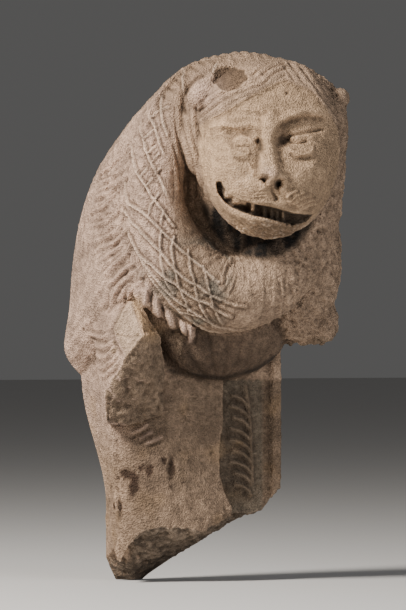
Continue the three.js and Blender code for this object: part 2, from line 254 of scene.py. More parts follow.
bm = bmesh.new()
bmesh.ops.create_circle(bm, segments=mane["across"], radius=0.3,
                        matrix=Matrix.Translation((1, 0, 0)) @ Matrix.Rotation(math.pi / 2, 4, "X"))
bmesh.ops.spin(bm, geom=bm.verts[:] + bm.edges[:], axis=(0, 0, 1), angle=2 * math.pi,
               steps=mane["around"], use_merge=True)
bmesh.ops.subdivide_edges(bm, edges=bm.edges[:], cuts=mane["cuts"], use_grid_fill=True)
keepForm(bm, placeMane)

body = {
    "halfWidth": 166, "swell": 8, "flare": 8, "wallZ": -37, "wallRise": 303, "wallDrop": 72,
    "frontRise": 180, "frontDrop": 170, "squareness": 2.5, "locks": 46, "lockHeight": 1.4, "sweep": 0.32,
    "wave": 0.035, "cuts": 150,
}


def placeBody(points):
    t, angle, spread = tubeParts(points)
    y = lerp(0, mane["y"] + 4, t)
    half = lerp(body["halfWidth"], mane["halfWidth"] + 28, t) + body["swell"] * np.sin(math.pi * t)
    rise = lerp(body["wallRise"], body["frontRise"], t)
    drop = lerp(body["wallDrop"], body["frontDrop"], t)
    level = np.arctan2(np.sin(angle), np.abs(np.cos(angle)))
    swept = level + (body["sweep"] * (1 - t) + body["wave"] * np.sin(3 * math.pi * t)) * np.cos(level) ** 2
    side = power(np.cos(swept), 2 / body["squareness"]) * np.sign(np.cos(angle))
    lift = power(np.sin(swept), 2 / body["squareness"])
    fade = ease(t, 0, 0.15) * ease(np.sin(swept), -0.75, -0.3)
    lock = lerp(body["lockHeight"], 0.8, ease(t, 0.2, 0.45)) * fade * np.cos(body["locks"] * level)
    z = lerp(body["wallZ"], mane["z"], t) + spread * lift * np.where(lift > 0, rise + lock, drop)
    flare = body["flare"] * bump(y, z, 0, body["wallZ"], 40, 30)
    return np.stack((mane["x"] * t + spread * side * (half + lock + flare), y, z), 1)


ballForm(body["cuts"], placeBody)

head = {
    "x": -9, "y": -290, "z": 219, "turn": math.radians(25), "halfWidth": 93, "halfHeight": 117,
    "front": 92, "back": 70, "squareness": 2.45, "muzzleDrop": 45, "cuts": 170,
}
headPlace = turnedFrame(head["x"], head["y"], head["z"], head["turn"])


def headSpot(points):
    # to the viewer's right of the head's middle, above it, and out of the face
    return toLocal(points, headPlace).T


neck = {"root": 40, "rise": 4, "flare": [(0, 112, 150), (0.2, 90, 112), (0.45, 68, 82), (1, 60, 72)]}


def placeNeck(points):
    t, angle, spread = tubeParts(points)
    share = [row[0] for row in neck["flare"]]
    across = np.interp(t, share, [row[1] for row in neck["flare"]]) * spread
    high = np.interp(t, share, [row[2] for row in neck["flare"]]) * spread
    local = np.stack((across * np.cos(angle), high * np.sin(angle), 0 * t), 1)
    root = toStone(local, turnedFrame(mane["x"], mane["y"] + neck["root"], mane["z"], mane["turn"]))
    tip = toStone(local, turnedFrame(head["x"], head["y"], head["z"] + neck["rise"], head["turn"]))
    return lerp(root, tip, t[:, None])


ballForm(60, placeNeck)


# The face: millimetres to the viewer's right of the head's middle, and above it
face = {
    "nose": [(-4, 36), (-5, 1), (-4, -22), (-1, -34)],
    "nostrils": [(-7.5, -41), (10.5, -45.5)],
    "browLeft": [(-84, 27), (-57, 28), (-42, 25), (-21, 29), (-10, 23)],
    "browRight": [(4, 21), (14, 32), (29, 39.5), (49, 44), (73, 42)],
    "leftCorner": [(-19, 12), (-13.5, 7), (-11, 0), (-12, -11)],
    "noseSide": [(-11, -4), (-16, -20), (-18, -32), (-15, -40)],
    "mouth": [(-65, -47), (-62, -56), (-55, -65), (-45, -72), (-32, -77), (-17, -81), (-1.5, -84), (14, -88),
              (29, -92), (45, -91), (57, -86)],
    "mouthHalf": [4.0, 5.6, 5.6, 6.2, 6.8, 7.4, 7.8, 7.8, 7.6, 5.2, 0.4],
    "mouthDepth": 27,
    "teeth": [(-53.5, -60, 4.4, 5, 22), (-40.7, -67.5, 7.4, 6.5, 24), (-32, -72, 3, 3, 16),
              (-21.8, -75.5, 3, 9, 22), (-7, -83, 3, 8, 8), (2, -85, 2.6, 8, 10), (9.3, -87, 2.8, 8, 9),
              (17, -87.5, 2.8, 8, 14)],
    "hairline": [(-92, 28), (-78, 38), (-50, 51), (-30, 64), (-4, 77), (18, 89), (35, 80), (53, 74), (65, 61),
                 (75, 48), (88, 28)],
    "parting": 20,
}


def mouthDepth(u, v):
    # how deep the grin is cut, less where teeth hang into it
    far, share, _ = trace(u, v, face["mouth"])
    half = np.interp(share, np.linspace(0, 1, len(face["mouthHalf"])), face["mouthHalf"])
    deep = face["mouthDepth"] * lerp(0.6, 1, ease(u, -64, -30))
    for cu, cv, across, high, out in face["teeth"]:
        deep = deep - out * np.exp(-(np.abs((u - cu) / across) ** 3 + np.abs((v - cv) / high) ** 3))
    return np.clip(deep, 4, 30) * ease(half - far, -1, 1.3)


def faceRelief(u, v):
    w = 16 * bump(u, v, -2, -52, 56, 40)

    # nose: steep at its left, soft at its right, widening to the tip and the wings of the nostrils
    far, share, side = trace(u, v, face["nose"])
    reach = np.where(side > 0, lerp(19, 22, share), lerp(9.5, 16, share))
    w += lerp(9, 17, share) * (1 - ease(far, lerp(1.5, 8, share), reach))
    w += 4 * bump(u, v, 2, -32, 16, 13) + 5 * bump(u, v, -11, -36, 6, 8) + 6 * bump(u, v, 17, -40, 6, 8)
    for cu, cv in face["nostrils"]:
        w += 5 * bump(u, v, cu, cv, 12, 10) - 25 * bump(u, v, cu, cv - 1, 7, 6)

    # the right orbit is cut in under a sharp brow, the left one is shallow and worn
    under = heightOn(face["browRight"], u) - v
    inOrbit = ease(u, 4, 22) * ease(-u, -82, -60)
    w -= 8 * inOrbit * ease(under, -1, 6) * (1 - ease(under, 12, 36))
    w += 4 * np.exp(-((under + 4) / 6) ** 2) * ease(u, 1, 10) * ease(-u, -84, -66)
    under = heightOn(face["browLeft"], u) - v
    inOrbit = ease(-u, 16, 32) * ease(u, -74, -48)
    w -= 6.5 * inOrbit * ease(under, -1, 9) * (1 - ease(under, 15, 40))
    w += 4 * np.exp(-((under + 3) / 5) ** 2) * ease(-u, 8, 16) * ease(u, -88, -70)

    # eyeballs, and the deep corners by the nose
    w += 3 * bump(u, v, 42, 0, 13, 7) + 6 * bump(u, v, -32, 2, 11, 9)
    w -= 10 * bump(u, v, 19, 9, 9, 8) + 3 * bump(u, v, 42, -17, 18, 6) + 4 * bump(u, v, 40, 6, 25, 15)
    w -= 9 * stroke(u, v, face["leftCorner"], 4, 0.3) + 3 * stroke(u, v, face["noseSide"], 4.2, 0.2)

    # cheeks, the fold beside the left nostril and the muzzle
    w += 7 * bump(u, v, -56, -24, 24, 24) + 7 * bump(u, v, 60, -26, 26, 26)
    w += 5 * bump(u, v, -28, -50, 24, 12) + 7 * bump(u, v, 40, -64, 22, 14)
    w -= 4 * bump(u, v, 8, -62, 7, 9)

    # the grin over a thick rounded lip, with teeth that hang from above
    lip = heightOn(face["mouth"], u) - np.interp(u, [p[0] for p in face["mouth"]], face["mouthHalf"])
    w += 8 * np.exp(-((v - lip + 9) / 9) ** 2) * ease(u, -84, -66) * ease(-u, -72, -40)
    w -= mouthDepth(u, v)

    # the cap of hair stands a little over the forehead
    hair = ease(v - heightOn(face["hairline"], u), -1.5, 4)
    return w + lerp(3.5, 6, ease(u, 10, 40)) * hair


def headShare(points):
    share = np.hypot(points[:, 0], points[:, 1])
    angle = np.arctan2(points[:, 1], points[:, 0])
    return np.clip(share, 0, 1), angle


def placeHead(points):
    share, angle = headShare(points)
    isFront = points[:, 2] >= 0
    squareness = lerp(2, head["squareness"], ease(np.sin(angle), 0, 0.5))
    u = share * head["halfWidth"] * power(np.cos(angle), 2 / squareness)
    v = share * head["halfHeight"] * power(np.sin(angle), 2 / squareness)
    v = v - np.where(isFront, head["muzzleDrop"] * (1 - share), 0)
    dome = head["front"] * np.sqrt(1 - share ** 2.8)
    relief = faceRelief(u, v) * ease(1 - share, 0.02, 0.16)
    w = np.where(isFront, dome + relief, -head["back"] * np.sqrt(1 - share ** 4))
    return toStone(np.stack((u, v, w), 1), headPlace)


ballForm(head["cuts"], placeHead)

# Ears and side hair, in the head's own frame: middle, then half sizes across, in height and in depth
earsAndHair = [
    ((-83, 75, -2), (25, 26, 19)),
    ((91, 66, -20), (14, 14, 20)),
    ((-88, 10, -35), (31, 74, 42)),
    ((80, 30, -25), (23, 50, 42)),
]


def pointedBelow(points):
    # narrower towards its lower end, which leans to the face
    down = ease(-points[:, 1], 0, 1)
    return np.stack((points[:, 0] * (1 - 0.55 * down) + 0.35 * down, points[:, 1], points[:, 2]), 1)


for middle, size in earsAndHair:
    shaped = pointedBelow if size[1] > 60 else lambda p: p
    ballForm(40, lambda p: toStone(shaped(p) * size + middle, headPlace))

bib = {
    "middle": (0, -112, -6), "size": (99, 76, 76),
    # the line along its lower edge where a shadow is painted, across the view and up
    "gap": [(-21.7, -70), (17.9, -77.7), (56.2, -81), (97, -70), (128.8, -50)],
}
ballForm(80, lambda p: np.stack((power(p[:, 0], 0.9), p[:, 1], p[:, 2]), 1) * bib["size"] + bib["middle"])


def offBib(points):
    # distance from the bib's plain surface, as a share of its size
    return np.linalg.norm((points - bib["middle"]) / bib["size"], axis=1) - 1


# Leaf-shaped lobes of hair under the mane: place, and how far each leans
lobes = {
    "size": (13, 11, 19),
    "places": [((-135, -167, 32), -0.2), ((-118, -170, 18), -0.35), ((-97, -173, 4), -0.35),
               ((-74, -176, -11), -0.4)],
}


def placeLobe(points, place, lean):
    # a leaf: it narrows to its lower tip, with a ridge down its middle
    down = np.clip(-points[:, 2], 0, 1)
    x, y, z = (points * lobes["size"]).T
    x = x * (1 - 0.5 * down)
    y = y * (1 - 0.25 * np.minimum(np.abs(points[:, 0]) * 2, 1))
    c, s = math.cos(lean), math.sin(lean)
    return np.stack((place[0] + c * x + s * z, place[1] + y, place[2] - s * x + c * z), 1)


for place, lean in lobes["places"]:
    ballForm(24, lambda p: placeLobe(p, place, lean))


def onLobes(points):
    # 1 on the skin of the lobes
    most = np.zeros(len(points))
    for place, lean in lobes["places"]:
        a, b, c = (points - place).T
        u, w = math.cos(lean) * a - math.sin(lean) * c, math.sin(lean) * a + math.cos(lean) * c
        far = np.linalg.norm(np.stack((u, b, w), 1) / lobes["size"], axis=1)
        most = np.maximum(most, 1 - ease(far, 1.05, 1.2))
    return most


# Where the shoulder at the viewer's right is broken off underneath
shoulder = {
    "middle": (94, -128, 78), "size": (66, 98, 122), "knob": (126, -130, -8), "knobSize": (34, 60, 46),
    "brokenAt": -31, "slope": 0.05,
}
block = {
    "left": -144, "lowLeft": -132, "backLeft": -148, "lowBackLeft": -112, "right": 105, "front": -110,
    "bulge": 7, "corner": 26, "recess": -88, "border": -95, "borderWidth": 15, "top": 30, "cuts": 130,
    "step": [(-252, 22), (-230, 11), (-207, 5), (-175, 4), (-143, 9), (-89, 10), (-60, 10)],
}
brokenFoot = {
    "front": [(-190, -335), (-128, -325), (-119, -298), (-101, -283), (-80, -278), (-57, -281), (-26, -284),
              (-7, -279), (18, -267), (40, -261), (78, -259), (99, -230)],
    "wall": [(-190, -300), (-112, -322), (-98, -352), (-84, -363), (-69, -360), (-50, -345), (-9, -320),
             (22, -305), (55, -285), (73, -270), (105, -258)],
    "lowest": -351, "colouredBelow": -200,
}


def shoulderEdge(x, y):
    jag = 5 * np.sin(0.11 * x + 0.05 * y) + 4 * np.cos(0.07 * x - 0.09 * y)
    return shoulder["brokenAt"] + jag + shoulder["slope"] * (x - block["right"])


def footEdge(x, y):
    return lerp(heightOn(brokenFoot["wall"], x), heightOn(brokenFoot["front"], x),
                np.clip(y / block["front"], 0, 1.2))


def brokenOff(points, isGone):
    edge = shoulderEdge(points[:, 0], points[:, 1])
    points[:, 2] = np.where(isGone(points[:, 0]), np.maximum(points[:, 2], edge), points[:, 2])
    return points


for cuts, size, middle in ((80, "size", "middle"), (40, "knobSize", "knob")):
    ballForm(cuts, lambda p: brokenOff(p * shoulder[size] + shoulder[middle], lambda x: x > 20))

stumpCorners = [
    (-147, -165, 22), (-162, -150, 1), (-143, -190, -24), (-159, -170, -53), (-173, -130, -104),
    (-163, -118, -141), (-134, -120, -143), (-84, -125, -129), (-94, -150, -63), (-113, -175, -24),
    (-139, -170, 18), (-160, -60, 10), (-146, -60, -110), (-140, -60, -135), (-90, -60, -129), (-90, -60, 10),
]
bm = bmesh.new()
for corner in stumpCorners:
    bm.verts.new(corner)
bmesh.ops.convex_hull(bm, input=bm.verts[:])
keepForm(bm, lambda p: p)


def blockLeft(z):
    return lerp(block["lowLeft"], block["left"], ease(z, -300, -140))


def blockFront(x, z):
    left = blockLeft(z)
    step = heightOn(block["step"], z)
    s = np.clip((x - left) / (step - left), 0, 1)
    face = block["front"] - block["bulge"] * np.sin(math.pi * s) + block["corner"] * (1 - s) ** 6
    edge = block["right"] - block["borderWidth"]
    sunk = lerp(block["recess"], block["border"], ease(x, edge - 3, edge + 3))
    return lerp(face, sunk, ease(x, step, step + 6)) + 6 * ease(x, block["right"] - 3, block["right"])


def placeBlock(points):
    a, b, c = ((points + 1) / 2).T
    b = 1 - b
    x = lerp(-148, block["right"], a)
    for _ in range(5):
        z = lerp(footEdge(x, b * block["front"]), block["top"], c)
        backLeft = lerp(block["lowBackLeft"], block["backLeft"], ease(z, -250, -80))
        x = lerp(lerp(backLeft, blockLeft(z), b), block["right"], a)
    return np.stack((x, b * blockFront(x, z), z), 1)


cubeForm(block["cuts"], placeBlock)
print("stone: rough forms shaped")


# Join the forms into one skin

whole = bmesh.new()
for mesh in forms:
    whole.from_mesh(mesh)
skin = bpy.data.meshes.new("skin")
whole.to_mesh(skin)
whole.free()
stone = addObject("carvedStone", skin)


def withModifier(kind, **settings):
    modifier = stone.modifiers.new(kind, kind)
    for name, value in settings.items():
        setattr(modifier, name, value)
    shown = stone.evaluated_get(bpy.context.evaluated_depsgraph_get())
    stone.data = bpy.data.meshes.new_from_object(shown)
    stone.modifiers.clear()


movePoints(skin, brokenOff(meshArrays(skin)[0], lambda x: x > block["right"]))
withModifier("REMESH", mode="VOXEL", voxel_size=finest)
print("stone: forms joined,", len(stone.data.vertices), "points")


def smoothed(values, edges, rounds, factor=0.5):
    # each point moves towards the mean of its neighbours
    a, b = edges.T
    count = np.bincount(a, minlength=len(values)) + np.bincount(b, minlength=len(values))
    columns = values.reshape(len(values), -1)
    for _ in range(rounds):
        mean = np.stack([
            np.bincount(a, c[b], len(values)) + np.bincount(b, c[a], len(values)) for c in columns.T
        ], 1) / count[:, None]
        columns = lerp(columns, mean, factor)
    return columns.reshape(values.shape)


def onWall(points):
    return points[:, 1] > -2.5


def blended(points):
    # where two forms run into each other without a seam: below the flank, and beside the face's hollow
    x, y, z = points.T
    u, v, w = headSpot(points)
    below = ease(-x, 125, 140) * band(-y, 20, 40, 112, 125) * band(z, -130, -105, -25, -5)
    beside = band(-u, 55, 75, 135, 150) * band(-v, 0, 20, 100, 130) * (1 - ease(w, -30, -10))
    return np.maximum(below, beside)


points, normals, edges = meshArrays(stone.data)
points = smoothed(points, edges, 3)
points = lerp(points, smoothed(points, edges, 30), blended(points)[:, None])
movePoints(stone.data, points)
points, normals, edges = meshArrays(stone.data)


# The net of the mane: cords in degrees along the roll and round it

net = {
    "long": [
        [(120, -10), (124, 9), (127, 23), (131, 44), (136, 66)],
        [(133, -14), (137, 1), (140, 16), (144, 27), (147, 38), (152, 56), (156, 74)],
        [(142, -24), (146, -7), (151, 20), (154, 39), (160, 60), (165, 78)],
        [(149, -30), (155, 2), (161, 25), (165, 38), (170, 54), (174, 69), (178, 82), (186, 98)],
        [(157, -29), (166, -6), (172, 15), (177, 34), (182, 53), (188, 70), (193, 83), (203, 98)],
        [(181, -15), (190, 11), (193, 41), (197, 58), (203, 72), (210, 84), (222, 96), (235, 103),
         (255, 100)],
        [(192, -20), (201, 30), (207, 46), (214, 60), (224, 66), (234, 71), (243, 78), (262, 77), (280, 70)],
        [(214, 20), (219, 34), (225, 43), (233, 54), (244, 58), (255, 64), (272, 52)],
        [(214, 18), (224, 27), (234, 34), (245, 38), (257, 36), (270, 24), (285, 14)],
        [(198, -20), (206, 2), (214, 17), (224, 19), (234, 22), (245, 22), (257, 12), (271, -8), (284, -16)],
    ],
    "cross": [
        [(146, 33), (143, 46)], [(151, 20), (147, 30)], [(161, 27), (156, 41)], [(167, 47), (163, 56)],
        [(170, 60), (166, 69)], [(176, 71), (173, 78)], [(178, 39), (174, 50)], [(182, 54), (178, 66)],
        [(189, 70), (185, 81)], [(195, 57), (191, 63), (189, 70)], [(200, 76), (195, 84), (194, 88)],
        [(214, 60), (210, 64), (204, 73)], [(237, 40), (229, 44), (220, 52), (214, 60)],
        [(229, 64), (221, 72), (214, 79), (209, 90)], [(250, 28), (244, 46), (235, 56), (229, 64)],
        [(238, 80), (232, 85), (224, 96), (219, 102)], [(258, 42), (254, 50), (245, 67), (238, 80)],
        [(251, 82), (244, 94), (235, 106)], [(268, 36), (260, 60), (251, 82)],
        [(256, 38), (250, 28), (247, 22)], [(272, 14), (264, 24), (258, 42)],
    ],
    "rim": 9,   # which long cord runs along the roll's lower edge
    "height": 3.0, "width": 1.6, "perDegreeAlong": 2.6, "perDegreeRound": 0.75,
}
for k in range(9):   # the side away from the view, in an even net
    start = 97 - 15 * k
    net["long"].append([(start - 6, -40), (start, -15), (start + 22, 75), (start + 32, 110)])
    net["cross"].append([(start + 26, -30), (start + 12, 20), (start, 60), (start - 14, 105)])


def maneSpot(points):
    # degrees along the roll and round it, and the distance from its plain surface
    a, b, c = toLocal(points, maneFrame()).T
    along = np.arctan2(b / mane["halfHeight"], a / mane["halfWidth"])
    for _ in range(12):
        cu, cv = mane["halfWidth"] * np.cos(along), mane["halfHeight"] * np.sin(along)
        tu, tv = -mane["halfWidth"] * np.sin(along), mane["halfHeight"] * np.cos(along)
        along = along + 0.8 * ((a - cu) * tu + (b - cv) * tv) / (tu * tu + tv * tv)
    along = (along + math.pi) % (2 * math.pi) - math.pi
    cu, cv = mane["halfWidth"] * np.cos(along), mane["halfHeight"] * np.sin(along)
    nu, nv = np.cos(along) / mane["halfWidth"], np.sin(along) / mane["halfHeight"]
    out = ((a - cu) * nu + (b - cv) * nv) / np.hypot(nu, nv)
    tube, middle = maneTube(along)
    turn = np.arctan2(c / mane["depth"], (out - middle) / tube)
    off = (np.hypot((out - middle) / tube, c / mane["depth"]) - 1) * (tube + mane["depth"]) / 2
    return np.degrees(along) % 360, np.degrees(turn), off


def netSpot(along, turn):
    # millimetres on the roll, from degrees along it and round it
    return along * net["perDegreeAlong"], turn * net["perDegreeRound"]


def cordsAt(along, turn, off):
    # 1 on the cords of the net, below 0 beside them
    high = np.zeros(len(along))
    u, v = netSpot(along, turn)
    for tall, line in [(1, line) for line in net["long"]] + [(0.8, line) for line in net["cross"]]:
        line = [netSpot(p, q) for p, q in line]
        lows, highs = np.min(line, 0) - 12, np.max(line, 0) + 12
        near = within(u, lows[0], highs[0]) & within(v, lows[1], highs[1]) & (np.abs(off) < 10)
        if not near.any():
            continue
        far, _, _ = trace(u[near], v[near], line)
        cord = np.exp(-(far / net["width"]) ** 2) - 0.45 * np.exp(-((far - 3.6) / 1.9) ** 2)
        high[near] = np.where(np.abs(cord) > np.abs(high[near] / tall), cord * tall, high[near])
    return high


def carveNet(points):
    along, turn, off = maneSpot(points)
    isOn = np.exp(-(off / 4) ** 2) * (1 - onLobes(points))
    worn = lerp(1, 0.3, ease(along, 262, 290)) * lerp(0.45, 1, ease(along, 135, 165))
    worn = np.where(along < 105, 0.12, worn) * lerp(0.7, 1.1, ease(grain(points, 26, 2, 40), -0.6, 0.5))
    reach = ease(along, 170, 200)
    inner = 1 - ease(turn, lerp(66, 92, reach), lerp(88, 112, reach))
    fur = waves(np.stack((along * 2.6 - 0.5 * turn, turn * 0.25, off), 1), 5.5, 44)
    fur = 1.5 * fur * ease(along, 215, 250) * (np.abs(off) < 12)
    scallop = 2.8 * np.abs(np.sin(np.radians(along) * 36)) ** 0.8 * np.exp(-((turn - 5) / 40) ** 2)
    scallop = scallop * band(along, 75, 90, 160, 172)
    rim = [netSpot(p, q - 9) for p, q in net["long"][net["rim"]]]
    near = within(along, 200, 290) & (turn < 40) & (np.abs(off) < 12)
    gap = onlyNear(near, stroke(*netSpot(along[near], turn[near]), rim, 2.6, 0.1))
    return isOn * (net["height"] * cordsAt(along, turn, off) * worn * inner + scallop + fur - 3 * gap)


# Locks, tufts and folds as ridges: place along the stone's side (Y) and height (Z)
flank = {
    "locks": [
        [(-166, 226), (-140, 214), (-100, 198), (-60, 190), (-20, 186)],
        [(-162, 200), (-137, 190), (-90, 178), (-40, 172)],
        [(-148, 178), (-131, 168), (-87, 161), (-33, 157)],
        [(-138, 163), (-126, 155), (-109, 148), (-68, 140), (-34, 137)],
        [(-151, 145), (-144, 135), (-125, 127), (-78, 121), (-33, 118)],
        [(-156, 138), (-155, 124), (-148, 113), (-120, 106), (-93, 101), (-48, 97)],
        [(-169, 119), (-159, 107), (-141, 98), (-99, 90), (-66, 82)],
        [(-164, 105), (-149, 91), (-134, 84), (-113, 76), (-79, 68)],
        [(-177, 99), (-168, 86), (-150, 74), (-136, 66), (-105, 51), (-86, 36)],
        [(-173, 86), (-172, 71), (-152, 60), (-121, 44), (-103, 24)],
        [(-183, 61), (-170, 43), (-150, 33), (-140, 16), (-130, -8)],
        [(-171, 66), (-156, 51), (-139, 44), (-124, 30), (-112, 12), (-104, -8)],
    ],
    "tufts": [
        [(-48, -21), (-86, -28), (-114, -28), (-136, -20)],
        [(-60, -36), (-94, -41), (-122, -41), (-142, -33), (-148, -26)],
        [(-74, -50), (-119, -54), (-140, -47), (-152, -32)],
        [(-81, -64), (-116, -67), (-142, -61), (-156, -46)],
        [(-89, -74), (-129, -77), (-149, -68), (-162, -54)],
    ],
    "height": 2.9, "width": 2.6,
}


# The arc cut into the middle of the lower roll, as X and Z
chestArc = [(-54, 42), (-50, 56), (-43, 68), (-28, 78), (-14, 79)]


def carveChest(points):
    x, y, z = points.T
    near = (y < -205) & within(x, -75, 80) & within(z, -25, 95)
    ridge = stroke(x[near], z[near], chestArc, 1.8, 0.1)
    groove = stroke(x[near], z[near], shifted(chestArc, 4, -3), 2.2, 0.1)
    return onlyNear(near, 2 * ridge - 2 * groove)


def carveFlank(points, normals):
    isSide = ease(-normals[:, 0], 0.25, 0.6)
    near = (isSide > 0) & (points[:, 0] < -95) & (points[:, 1] > -196)
    spots = points[near]
    y = spots[:, 1] + 2 * waves(spots, 30, 70)
    z = spots[:, 2] + 2.5 * waves(spots, 26, 72)
    high = np.zeros(len(spots))
    for tall, broad, lines in ((1, 1, flank["locks"]), (0.9, 1.1, flank["tufts"])):
        for line in lines:
            far, share, _ = trace(y, z, line)
            far = far / (flank["width"] * broad)
            cut = np.exp(-far ** 2) - 0.6 * np.exp(-((far - 1.9) / 0.8) ** 2)
            high += tall * flank["height"] * ease(share, 0, 0.12) * ease(1 - share, 0, 0.35) * cut
    return onlyNear(near, high) * isSide * lerp(0.75, 1.1, ease(waves(points, 20, 74), -0.5, 0.5))


# The broken foreleg, seen slantwise: lines across the view and up
stumpLines = {
    "edges": [[(-66, 26), (-76, 6), (-88, -17), (-80, -38), (-71.8, -51)],
              [(-50.7, -24), (-71.8, -51), (-84, -72), (-104, -102)]],
    "creases": [[(-66, 22), (-50.7, -24)], [(-62, 24), (-44, -2), (-33, -20)],
                [(-86, -22), (-68, -26), (-53, -23)]],
    "facet": [(-66, 22), (-83.7, 1.5), (-88, -17), (-71.8, -51), (-50.7, -24)],
    "strip": [(-60, 16), (-50, -2), (-40, -18)],
}


def slantSpot(points):
    # across the view and up, for forms that look out slantwise to the left
    return points[:, :2] @ np.array((math.cos(head["turn"]), -math.sin(head["turn"]))), points[:, 2]


def carveStump(points):
    a, z = slantSpot(points)
    near = within(a, -115, -20) & within(z, -150, 35) & (points[:, 1] < -95) & (points[:, 0] < -85)
    a, z = a[near] + 1.5 * waves(points[near], 9, 75), z[near]
    high = 1.3 * strokes(a, z, stumpLines["edges"], 1.8, 0.05)
    high -= 2.6 * stroke(a, z, shifted(stumpLines["edges"][0], -4, 0), 2.4, 0.08)
    return onlyNear(near, high - 1.8 * strokes(a, z, stumpLines["creases"], 1.8, 0.1))


# Leaves of hair that hang below the roll, across the view and up, and the grooves between them
fringe = {
    "leaves": [[(-41.5, 47), (-47, 28), (-49, 10)], [(-31, 41), (-32, 18), (-28.7, -6)],
               [(-16, 20), (-15, 2), (-10.7, -19)], [(-0.5, 5), (2, -10), (7, -24)],
               [(12, -8), (13, -22), (10, -37)]],
    "grooves": [[(-34, 46), (-39, 24), (-41, 2)], [(-23, 32), (-24, 12), (-19, -14)],
                [(-8, 14), (-7, -6), (-1, -24)], [(6, -1), (8, -16), (8, -30)],
                [(19, -12), (20, -26), (18, -38)]],
}


def onFringe(points):
    a, z = slantSpot(points)
    _, _, off = maneSpot(points)
    inReach = band(a, -58, -48, 18, 26) * band(z, -44, -34, 44, 52)
    return inReach * ease(off, 1.5, 4) * (points[:, 1] < -100) * (points[:, 0] < -20)


def leafAt(u, v, line, width):
    # 1 along a leaf's middle, narrowing to a point at its lower end
    far, share, _ = trace(u, v, line)
    return np.exp(-(far / (width * (1 - 0.7 * share))) ** 2) * band(share, 0, 0.1, 0.75, 1)


def carveFringe(points):
    a, z = slantSpot(points)
    isOn = onFringe(points)
    near = isOn > 0
    a, z = a[near] + 1.2 * waves(points[near], 8, 77), z[near]
    high = -1.6 * strokes(a, z, fringe["grooves"], 1.5, 0.2)
    for line in fringe["leaves"]:
        high += 2.6 * leafAt(a, z, line, 7) + 0.8 * leafAt(a, z, line, 1.6)
    return onlyNear(near, high) * isOn


def carveBib(points, normals):
    x, y, z = points.T
    isOn = np.exp(-(offBib(points) / 0.06) ** 2) * ease(-normals[:, 1], -0.2, 0.3)
    angle = np.arctan2(x - bib["middle"][0], bib["middle"][1] - y)
    folds = np.abs(np.sin(9 * angle + 0.8 * np.sin(3 * angle) + 0.012 * z)) ** 0.6 - 0.7
    return isOn * folds * lerp(3.2, 1.2, ease(x, -60, 40))


# The frond on the sunk panel, as X and Z
frond = {
    "midrib": [(51, -84), (56, -120), (59, -153), (60, -184), (61, -201), (62, -228)],
    "leaflets": 9, "top": -122, "pitch": 14.8, "height": 5.4, "width": 2.6, "stubs": [-132, -184],
    "curl": [(0, 0), (-0.18, 8), (-0.45, 13.5), (-0.75, 16.5), (-1.05, 18)],   # share of the reach, and rise
}


def leaflets(x, z):
    # 1 on the curled leaflets at the left of the midrib
    most = np.zeros(x.shape)
    for k in range(frond["leaflets"]):
        root = frond["top"] - frond["pitch"] * k
        reach = 31 - 1.2 * abs(k - 4.5) + 2.5 * math.sin(2.3 * k)
        mid = float(heightOn([(-z, x) for x, z in frond["midrib"]], -root))
        line = [(mid + reach * p, root + q) for p, q in frond["curl"]]
        most = np.maximum(most, stroke(x, z, line, frond["width"], 0.04))
    return most


def carveFrond(points, normals):
    x, y, z = points.T
    near = within(y, -100, -80) & within(x, -2, 82) & (z < -60) & (normals[:, 1] < -0.3)
    x, z = x[near], z[near]
    high = np.maximum(5.5 * stroke(x, z, frond["midrib"], 3.0, 0.06), frond["height"] * leaflets(x, z))
    for root in frond["stubs"]:
        high = np.maximum(high, 2.5 * stroke(x, z, [(60, root), (70, root + 3)], 2.4))
    return onlyNear(near, high)


# Marks on the front of the block, as X and Z
blockMarks = {
    "ridges": [[(-125, -155), (-112, -149), (-98, -140)], [(-115, -163), (-104, -156), (-93, -149)],
               [(-107, -169), (-94, -163), (-81, -157)]],
    "knobs": [(-114, -137), (-82, -158)],
    "strip": [[(-104, -140), (-100, -200), (-99, -250), (-99, -330)],
              [(-98, -140), (-94, -200), (-92, -250), (-92, -330)],
              [(-92, -140), (-88, -210), (-86, -260), (-86, -330)]],
    "hollows": [(-68, -201, 6, 13, 4), (-79, -190, 4, 5, 3), (-98, -202, 5, 8, 3), (-108, -199, 5, 5, 3),
                (-123, -208, 10, 8, 4), (-117, -225, 6, 12, 3), (-131, -250, 3, 7, 2)],
}


def carveBlock(points, normals):
    x, y, z = points.T
    a, _ = slantSpot(points)
    near = (a < -78) & (x < -70) & (z < -130) & (y < -8)
    across = a[near] + 5 * waves(points[near], 26, 80)
    high = 2.6 * strokes(across, z[near], blockMarks["strip"], 1.8, 0.1)
    high -= strokes(across - 3.4, z[near], blockMarks["strip"], 1.5, 0.1)
    corner = onlyNear(near, high * ease(waves(points[near], 20, 82), -0.5, 0.4))
    near = (normals[:, 1] < -0.2) & (y < -70) & (z < -125) & (x < 10)
    x, z = x[near], z[near]
    high = 3.4 * strokes(x, z + 1.4 * waves(points[near], 7, 84), blockMarks["ridges"], 1.9, 0.3)
    high -= 1.8 * strokes(x, z, [shifted(line, 2, -5) for line in blockMarks["ridges"]], 1.8, 0.2)
    for cx, cz in blockMarks["knobs"]:
        high += 4 * bump(x, z, cx, cz, 4, 4)
    for cx, cz, rx, rz, deep in blockMarks["hollows"]:
        high -= deep * bump(x, z, cx, cz, rx, rz)
    return corner + onlyNear(near, high)


leftEye = {"slit": [(-45, 2), (-34, 3), (-24, 1)], "hollow": [(-48, -11), (-37, -17), (-24, -15)]}

